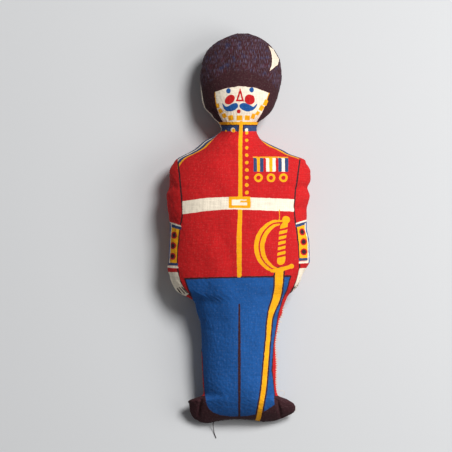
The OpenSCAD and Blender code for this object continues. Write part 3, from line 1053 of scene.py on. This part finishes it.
def bendAtNeck(piece):
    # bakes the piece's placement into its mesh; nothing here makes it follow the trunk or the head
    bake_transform(piece)


def settle(piece, slot, body, *nodes):
    # the CAD nodes that the piece shows, its material slot, which is not used, and the body that it rides or
    # the neck
    if nodes:
        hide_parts(*nodes)
    if body == "neck":
        bendAtNeck(piece)
    else:
        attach(piece, body)


fillSim = {
    "rows": 200,
    "columns": 61,
    "frames": 24,
    "cloth": {
        "quality": 7, "mass": 0.12, "air_damping": 3.0, "tension_stiffness": 60.0,
        "compression_stiffness": 60.0, "shear_stiffness": 20.0, "bending_stiffness": 0.02,
        "use_pressure": True, "uniform_pressure_force": 4.0,
    },
    "ease": 1.04,
    "steepest": 1.14,
    "jitter": 0.15,
    "blur": (9.0, 7.0),
    "keep": 0.68,
    "most": 1.6,
}


def pillowMesh(front, back):
    # the two panels as one closed bag: they share the points round the seam
    rowCount, columnCount = front.shape[:2]
    over = np.arange(rowCount * columnCount).reshape(rowCount, columnCount)
    under = over.copy()
    inner = under[1:-1, 1:-1]
    inner[:] = over.size + np.arange(inner.size).reshape(inner.shape)
    points = np.concatenate([front.reshape(-1, 3), back[1:-1, 1:-1].reshape(-1, 3)])
    sheets = ((over, False), (under, True))
    quads = [index.ravel()[gridFaces(rowCount, columnCount, turned)] for index, turned in sheets]
    return points, np.concatenate(quads), over, under


def flatPattern(front, back, spec):
    # both panels cut alike: as wide as the two sections' mean, as long as the rise over the middle
    arcs = [np.cumsum(np.linalg.norm(np.diff(s, axis=1), axis=2), axis=1) for s in (front, back)]
    half = (arcs[0][:, -1] + arcs[1][:, -1])[:, None] / 4
    share = [np.concatenate([np.zeros((len(a), 1)), a], axis=1) / a[:, -1:] for a in arcs]
    middle = front[:, front.shape[1] // 2]
    step = np.linalg.norm(np.diff(middle, axis=0), axis=1)
    plain = np.diff(front[:, 0, 1])
    step = np.clip(step, plain, plain * spec["steepest"]) * spec["ease"]
    up = np.concatenate([[0], np.cumsum(step)])[:, None]
    return [np.stack([(2 * s - 1) * half, up + 0 * s, 0 * s], axis=-1) for s in share]


def blurred(grid, sigmas):
    # bell-shaped average along rows and columns
    for axis, sigma in enumerate(sigmas):
        grid = np.apply_along_axis(eased, axis, grid, sigma)
    return grid


def resampled(grid, count, axis):
    # cubic through the neighbours on each side, along one axis
    grid = np.moveaxis(grid, axis, 0)
    place = np.linspace(0, len(grid) - 1, count)
    i = np.clip(place.astype(int), 0, len(grid) - 2)
    t = (place - i).reshape(-1, *[1] * (grid.ndim - 1))
    four = (np.clip(i + k, 0, len(grid) - 1) for k in (-1, 0, 1, 2))
    return np.moveaxis(throughPoints(*(grid[k] for k in four), t), 0, axis)


def inflate(start, quads, flat, spec):
    # the bag's points after the simulation, in which its rest shape is the flat pattern
    bag = makeMesh("filled_bag", start, quads, cotton)
    bag.shape_key_add(name="form")
    pattern = bag.shape_key_add(name="pattern")
    pattern.data.foreach_set("co", (flat * mm).astype(np.float32).ravel())
    pattern.value = 0.0
    cloth = bag.modifiers.new("cloth", "CLOTH")
    for name, value in spec["cloth"].items():
        setattr(cloth.settings, name, value)
    cloth.settings.rest_shape_key = pattern
    cloth.settings.effector_weights.gravity = 0.0
    cloth.collision_settings.use_collision = False
    for number in range(1, spec["frames"] + 1):
        bpy.context.scene.frame_set(number)
    made = bag.evaluated_get(bpy.context.evaluated_depsgraph_get()).to_mesh()
    found = np.empty(start.size, np.float32)
    made.vertices.foreach_get("co", found)
    bpy.data.objects.remove(bag)
    bpy.context.scene.frame_set(1)
    return found.reshape(-1, 3) / mm


def simulateFill(spec):
    # blow the flat-cut bag up into its form, and keep only the fine puckers that its seam throws
    front, back = (panelSurface(side, spec["rows"], spec["columns"]) for side in ("front", "back"))
    points, quads, over, under = pillowMesh(front, back)
    flatOver, flatUnder = flatPattern(front, back, spec)
    flat = np.empty_like(points)
    flat[under.ravel()] = flatUnder.reshape(-1, 3)
    flat[over.ravel()] = flatOver.reshape(-1, 3)
    start = points + rng.normal(0, spec["jitter"], points.shape)
    moved = inflate(start, quads, flat, spec) - points
    puckers = {}
    for side, index in (("front", over), ("back", under)):
        sheet = moved[index]
        fine = (sheet - blurred(sheet, spec["blur"])) * spec["keep"]
        size = np.linalg.norm(fine, axis=2, keepdims=True)
        puckers[side] = unit(fine) * spec["most"] * np.tanh(size / spec["most"])
        print(side, "puckers up to", round(float(size.max()), 2), "mm, mostly", round(float(size.mean()), 3))
    return puckers


clothShape = {
    "lump": 0.38,
    "lumpWaves": 14,
    "lumpLength": (22.0, 48.0),
    "edgeKeep": 12.0,
    "seamPower": 4,
    "creases": [
        {"line": [(-37.5, -171), (-38.6, -178), (-39.6, -186)], "depth": 2.4, "width": 1.6},
        {"line": [(38.6, -171), (40.2, -179), (42.4, -188)], "depth": 2.3, "width": 1.6},
        {"line": [(-41, -82), (-28, -88), (-14, -93)], "depth": 0.28, "width": 2.8},
        {"line": [(-38, -97), (-26, -103), (-16, -106)], "depth": 0.28, "width": 2.6},
        {"line": [(-46, -66), (-34, -72), (-22, -74)], "depth": 0.2, "width": 3.2},
        {"line": [(34, -141), (26, -146), (14, -148)], "depth": 0.5, "width": 2.4},
        {"line": [(66, 42), (58, 41), (50, 43)], "depth": 0.8, "width": 2.6},
        {"line": [(66, 20), (58, 21), (50, 19)], "depth": 0.7, "width": 2.6},
        {"line": [(-68, 42), (-60, 40), (-52, 41)], "depth": 0.7, "width": 2.8},
    ],
}


def shapeCloth(surface, side, puckers, screens, spec):
    # the even form, plus the fine puckers, slow lumps of the stuffing and a few pressed creases
    shaped = surface.copy()
    if puckers:
        fine = resampled(puckers[side], surface.shape[0], 0)
        shaped += resampled(fine, surface.shape[1], 1)
    away = 1 - columnPlaces(surface.shape[1])[None, :] ** spec["seamPower"]
    x, y = surface[..., 0], surface[..., 1]
    ends = np.clip(np.minimum(y - form.sole, form.top - y) / spec["edgeKeep"], 0, 1)
    lump = np.zeros(x.shape)
    count = spec["lumpWaves"]
    limits = ((0, np.pi), spec["lumpLength"], (0, 2 * np.pi))
    for turn, length, phase in zip(*(rng.uniform(*pair, count) for pair in limits)):
        lump += np.sin((x * np.cos(turn) + y * np.sin(turn)) * 2 * np.pi / length + phase)
    lump *= spec["lump"] / np.sqrt(count) * away * ends
    if side == "front":
        shaped[..., 2] += lump
        for crease in spec["creases"]:
            near = -screens.stroke(smoothLine(crease["line"]), [0.0]) / crease["width"]
            shaped[..., 2] -= crease["depth"] * np.exp(-near * near) * ends
    else:
        shaped[..., 2] -= lump
    shaped[..., 2] = np.maximum(shaped[..., 2], 0.0)
    return shaped


puckers = simulateFill(fillSim)
frontShaped = shapeCloth(frontSurface, "front", puckers, frontPrint, clothShape)
backShaped = shapeCloth(backSurface, "back", puckers, rearPrint, clothShape)
for rim in (np.s_[:, 0], np.s_[:, -1], np.s_[0], np.s_[-1]):
    backShaped[rim] = frontShaped[rim]
print("cloth shaped")


def makePanel(side, surface, flat, screens):
    # one panel over its three CAD stretches, with its screens and its flat coordinates
    quads = gridFaces(*surface.shape[:2], side == "back")
    panel = makeMesh(f"{side}_cloth", surface.reshape(-1, 3), quads, cotton)
    for name, field in {**screens.inks, "fur": screens.fur, "soilAndShade": screens.soilAndShade}.items():
        setField(panel, name, field)
    setClothUv(panel, flat.reshape(-1, 2))
    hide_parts(*panelNodes[side])
    bendAtNeck(panel)


makePanel("front", frontShaped, clothLengths(frontSurface), frontPrint)
makePanel("back", backShaped, clothLengths(backSurface), rearPrint)
print("panels made")


def tubes(paths, radius, sides, up=(0.0, 0.0, 1.0), tip=0.05):
    # round tubes along many paths at once, each ring square to its path, drawn in at both ends
    along = unit(np.gradient(paths, axis=1))
    across = unit(np.cross(along, np.asarray(up)))
    other = np.cross(across, along)
    turn = np.linspace(0, 2 * np.pi, sides, endpoint=False)[None, None, :, None]
    radii = np.full(paths.shape[:2], radius)
    radii[:, [0, -1]] *= tip
    ring = np.cos(turn) * across[:, :, None] + np.sin(turn) * other[:, :, None]
    points = paths[:, :, None] + radii[:, :, None, None] * ring
    quads = ringFaces(paths.shape[1], sides)
    offsets = np.arange(len(paths))[:, None, None] * paths.shape[1] * sides
    return points.reshape(-1, 3), (quads[None] + offsets).reshape(-1, 4)


def ringFaces(rowCount, sides):
    # quads of a grid that closes round on itself
    index = np.arange(rowCount * sides).reshape(rowCount, sides)
    after = np.roll(index, -1, axis=1)
    quads = np.stack([index[:-1], index[1:], after[1:], after[:-1]], axis=-1)
    return quads.reshape(-1, 4)


def soleEdge(x):
    # the sole seam at this x
    return form.sole + soleLift(x, np.full(np.shape(x), form.sole))


edgeShift = frontShaped - frontSurface


def soleShift(x):
    # how far the shaped cloth moved the sole's edge at this x
    moved = [np.interp(x, frontSurface[0, :, 0], edgeShift[0, :, axis]) for axis in range(3)]
    return np.stack(moved, axis=-1)


seamLook = {"inset": 1.6, "leastHalf": 0.3, "radius": 0.3, "sides": 8, "opening": 25.0, "footSteps": 30}


def makeSeam(spec):
    # one thread just inside the panels' edge, up the left side, over the cap and down the right
    y = rowHeights(panelGrid["rows"])
    left, right, seam = form.at(y)[:3]
    half = np.maximum((right - left) / 2 - spec["inset"], spec["leastHalf"])
    middle = (left + right) / 2
    low = np.clip(y, form.sole + spec["inset"], form.top - spec["inset"])
    sideways = [np.stack([middle + k * half, low, seam], axis=1) for k in (-1, 1)]
    feet = []
    for k, line in zip((-1, 1), sideways):
        x = np.linspace(k * spec["opening"], line[0, 0], spec["footSteps"])[:-1]
        feet.append(np.stack([x, 0 * x + line[0, 1], 0 * x + line[0, 2]], axis=1))
    path = np.vstack([feet[0], sideways[0], sideways[1][::-1], feet[1][::-1]])
    path[:, 1] += soleLift(path[:, 0], path[:, 1])
    ends = [soleShift(line[:, 0]) for line in feet]
    path += np.vstack([ends[0], edgeShift[:, 0], edgeShift[::-1, -1], ends[1][::-1]])
    piece = makeMesh("seam_line", *tubes(path[None], spec["radius"], spec["sides"]), paleThread)
    settle(piece, "seam_thread", "neck", *(f"seam_thread_{part}" for part in stretches))


closingLook = {
    "count": 12, "pitch": 4.5, "radius": 0.25, "wrap": 1.25, "rise": 2.0, "lean": 1.1, "inset": 1.3,
    "stations": 15, "sides": 8, "swing": 105.0,
}


def makeClosing(spec):
    # whip stitches over the sole's edge, each an arc from the front panel to the back, leaning
    x = (np.arange(spec["count"]) - (spec["count"] - 1) / 2)[:, None] * spec["pitch"]
    turn = np.radians(np.linspace(-spec["swing"], spec["swing"], spec["stations"]))[None, :]
    y = soleEdge(x) + spec["inset"] - spec["wrap"] * np.cos(turn)
    seam = form.at(np.array([form.sole]))[2][0]
    z = seam + spec["rise"] * np.sin(turn) + 0 * x
    paths = np.stack([x + spec["lean"] * np.sin(turn), y, z], axis=-1) + soleShift(x)
    stitches = tubes(paths, spec["radius"], spec["sides"], (1.0, 0.0, 0.0))
    piece = makeMesh("closing_whip_stitches", *stitches, darkThread)
    settle(piece, "closing_thread", "trunk", "closing_stitches")


looseLook = {
    "path": [
        (-24.6, 1.6, 6.8), (-25.2, -0.4, 6.6), (-25.4, -2.6, 5.4), (-25.2, -5.4, 3.2), (-24.8, -8.2, 1.4),
        (-24.2, -11.2, 0.8), (-23.2, -14.0, 0.6), (-22.2, -16.2, 0.6),
    ],
    "startX": -25.0, "radius": 0.33, "sides": 8, "steps": 8,
    "knotAt": 3, "knotSteps": 25, "knotSize": (0.72, 0.54, 0.9), "knotUp": (0.3, 0.8, 0.5),
}


def makeLoose(spec):
    # the closing thread's end: a knot at the first stitch, then the thread down on to the surface
    path = np.array(spec["path"]) + (0, soleEdge(np.array([spec["startX"]]))[0], 0)
    line = smoothLine(path, spec["steps"])
    points, quads = tubes(line[None], spec["radius"], spec["sides"], (1.0, 0.0, 0.0))
    turn = np.linspace(0, 2 * np.pi, spec["knotSteps"])
    wind = np.stack([np.cos(2 * turn), np.sin(2 * turn), np.sin(3 * turn)], axis=1) * spec["knotSize"]
    knot = (wind + line[spec["knotAt"]])[None]
    knotPoints, knotQuads = tubes(knot, spec["radius"], spec["sides"], spec["knotUp"])
    points, quads = np.vstack([points, knotPoints]), np.vstack([quads, knotQuads + len(points)])
    piece = makeMesh("closing_loose_end", points, quads, darkThread)
    settle(piece, "closing_thread", "trunk", "closing_thread_end")


wadLook = {
    "rows": 64, "sides": 80, "inset": 0.88, "square": 4.0, "leastSwell": 1e-4, "floor": 1.2,
    "lump": 0.035, "lumpWaves": [(3, 7.0), (5, -4.3)], "lumpSink": 1.2, "roomPower": 0.7,
    "wads": {
        "stuffing_legs": {"span": (-184, -62), "width": 1.0, "centre": 0.0, "body": "trunk"},
        "stuffing_waist": {"span": (-60, 14), "width": 1.0, "centre": 0.0, "body": "trunk"},
        "stuffing_chest": {"span": (15, 89), "width": 1.0, "centre": 0.0, "body": "trunk"},
        "stuffing_neck": {"span": (86, 112), "width": 0.9, "centre": 0.0, "body": "neck"},
        "stuffing_head": {"span": (109, 191), "width": 1.0, "centre": 0.0, "body": "head"},
        "stuffing_right_boot": {"span": (-191, -172), "width": 0.16, "centre": -0.72, "body": "trunk"},
        "stuffing_left_boot": {"span": (-190, -172), "width": 0.16, "centre": 0.72, "body": "trunk"},
    },
}


def makeWad(name, wad, spec):
    # a lumpy loft inside the panels: its section is an ellipse that closes at both ends
    low, high = wad["span"]
    centre, width = wad["centre"], wad["width"]
    t = (1 - np.cos(np.linspace(0, np.pi, spec["rows"]))) / 2
    y = (low + (high - low) * t)[:, None]
    left, right, seam, crown, drop = form.at(y)
    swell = np.sqrt(np.maximum(1 - np.abs(2 * t - 1) ** spec["square"], spec["leastSwell"]))[:, None]
    turn = np.linspace(0, 2 * np.pi, spec["sides"], endpoint=False)[None, :]
    waves = sum(np.sin(count * turn + y / length) for count, length in spec["lumpWaves"])
    size = spec["inset"] * swell * (1 + spec["lump"] * (waves - spec["lumpSink"]))
    x = (left + right) / 2 + (right - left) / 2 * (centre + width * size * np.cos(turn))
    room = np.maximum(1 - (abs(centre) + width * (centre != 0)) ** 2, 0) ** spec["roomPower"]
    depth = np.where(np.sin(turn) > 0, crown, drop) * room
    z = np.maximum(seam + depth * size * np.sin(turn), spec["floor"])
    points = np.stack([x, y + soleLift(x, y), z], axis=-1).reshape(-1, 3)
    quads = ringFaces(spec["rows"], spec["sides"])[:, ::-1]
    piece = makeMesh(name + "_wad", points, quads, wadding)
    settle(piece, "stuffing", wad["body"], name)


frayLook = {
    "points": 7, "sides": 5, "radius": 0.11, "inset": 0.5, "along": 0.7, "bend": 0.5, "floor": 0.3,
    "tufts": {
        "leg_fray": {
            "hand": 1, "span": (-166, -68), "count": 150, "length": (0.8, 3.4), "lift": 0.5, "body": "trunk",
        },
        "boot_fray": {
            "hand": 1, "span": (-190, -178), "count": 26, "length": (0.8, 2.6), "lift": 0.4, "body": "trunk",
        },
        "cheek_fray": {
            "hand": -1, "span": (112, 146), "count": 22, "length": (0.4, 1.2), "lift": 0.4, "body": "head",
        },
    },
}


def fibres(foot, aim, bend, length, points):
    # paths that set out along their aim and bend away with the square of the distance
    t = np.linspace(0, 1, points)[None, :, None]
    return foot + length[:, None, None] * (unit(aim)[:, None] * t + bend[:, None] * t**2)


def makeFray(name, tuft, spec):
    # loose fibres that leave the edge outwards, each bending its own way
    count, hand = tuft["count"], tuft["hand"]
    y = rng.uniform(*tuft["span"], count)
    left, right, seam = form.at(y)[:3]
    edge = right if hand > 0 else left
    sole = soleLift(np.full(count, hand * soleShape["archHalf"]), y)
    foot = np.stack([edge - hand * spec["inset"], y + sole, seam], axis=1)
    sideways = [rng.normal(0, spread, count) for spread in (spec["along"], tuft["lift"])]
    aim = np.stack([np.full(count, hand), *sideways], axis=1)
    bend = rng.normal(0, spec["bend"], (count, 3))
    paths = fibres(foot[:, None], aim, bend, rng.uniform(*tuft["length"], count), spec["points"])
    paths[..., 2] = np.maximum(paths[..., 2], spec["floor"])
    piece = makeMesh(name, *tubes(paths, spec["radius"], spec["sides"]), paleThread)
    settle(piece, "seam_thread", tuft["body"])


def frontHeight(x, y):
    # height of the front panel at a point in plan
    left, right, seam, crown = form.at(y)[:4]
    s = (2 * x - left - right) / (right - left)
    return seam + crown * max(1 - s * s, 0) ** panelGrid["frontRound"]


hipLook = {
    "place": (54.0, -59.5), "count": 12, "length": (2.0, 6.0), "radius": 0.2, "points": 7, "sides": 6,
    "aim": (0.7, 0.6, 0.15), "spread": 0.6, "bend": 0.35,
}


def makeHipEnds(spec):
    # a dark tuft of thread ends at one hip
    count = spec["count"]
    aim = np.array(spec["aim"]) + rng.normal(0, spec["spread"], (count, 3))
    bend = rng.normal(0, spec["bend"], (count, 3))
    foot = np.array([*spec["place"], frontHeight(*spec["place"]) + spec["radius"]])
    paths = fibres(foot, aim, bend, rng.uniform(*spec["length"], count), spec["points"])
    tuft = makeMesh("hip_thread_ends", *tubes(paths, spec["radius"], spec["sides"]), darkThread)
    settle(tuft, "closing_thread", "trunk")


ankleLook = {
    "path": [
        (40.0, -163.0, 20.0), (43.0, -161.6, 20.6), (45.6, -162.6, 20.4), (45.8, -165.4, 19.6),
        (43.0, -167.2, 19.0), (40.4, -167.6, 19.0),
    ],
    "radius": 0.2, "sides": 6, "steps": 8,
}


def makeAnkleLoop(spec):
    # a pale thread pulled into a loop at one ankle
    path = smoothLine(spec["path"], spec["steps"])[None]
    loop = makeMesh("ankle_thread_loop", *tubes(path, spec["radius"], spec["sides"]), paleThread)
    settle(loop, "seam_thread", "trunk")


makeSeam(seamLook)
makeClosing(closingLook)
makeLoose(looseLook)
for name, wad in wadLook["wads"].items():
    makeWad(name, wad, wadLook)
for name, tuft in frayLook["tufts"].items():
    makeFray(name, tuft, frayLook)
makeHipEnds(hipLook)
makeAnkleLoop(ankleLook)
print("threads, stuffing and frayed edges made")

stageLook = {
    "floor": srgb(209, 210, 211),
    "floorSize": 8.0,
    "floorDrop": 0.2,
    "lamps": [
        {"name": "key", "place": (1.50, 1.68, 3.00), "size": 1.27, "power": 128.0},
        {"name": "fill", "place": (0.90, 0.05, 0.80), "size": 0.80, "power": 5.8},
    ],
    "sky": srgb(224, 224, 226),
    "skyStrength": 0.18,
    "roughness": 0.9,
    "specular": 0.1,
    "sheen": 0.0,
}


def makeStage(spec):
    # plain pale floor, a soft lamp from the upper right, a weak one from the right, and a dim sky
    half = spec["floorSize"] / 2 / mm
    corners = ((-half, -half), (half, -half), (half, half), (-half, half))
    points = np.array([(x, y, -spec["floorDrop"]) for x, y in corners])
    material, _, shader = startMaterial("pale floor", spec)
    shader.inputs["Base Color"].default_value = spec["floor"]
    makeMesh("floor", points, np.array([[0, 1, 2, 3]]), material, False)
    for lamp in spec["lamps"]:
        data = bpy.data.lights.new(lamp["name"], "AREA")
        data.shape, data.size, data.energy = "DISK", lamp["size"], lamp["power"]
        made = bpy.data.objects.new(lamp["name"], data)
        made.location = lamp["place"]
        made.rotation_euler = (-Vector(lamp["place"])).to_track_quat("-Z", "Y").to_euler()
        bpy.context.scene.collection.objects.link(made)
    world = bpy.data.worlds.new("sky")
    world.use_nodes = True
    sky = world.node_tree.nodes["Background"].inputs
    sky["Color"].default_value, sky["Strength"].default_value = spec["sky"], spec["skyStrength"]
    bpy.context.scene.world = world
    bpy.context.scene.view_settings.view_transform = "Standard"


makeStage(stageLook)
print("stage set")
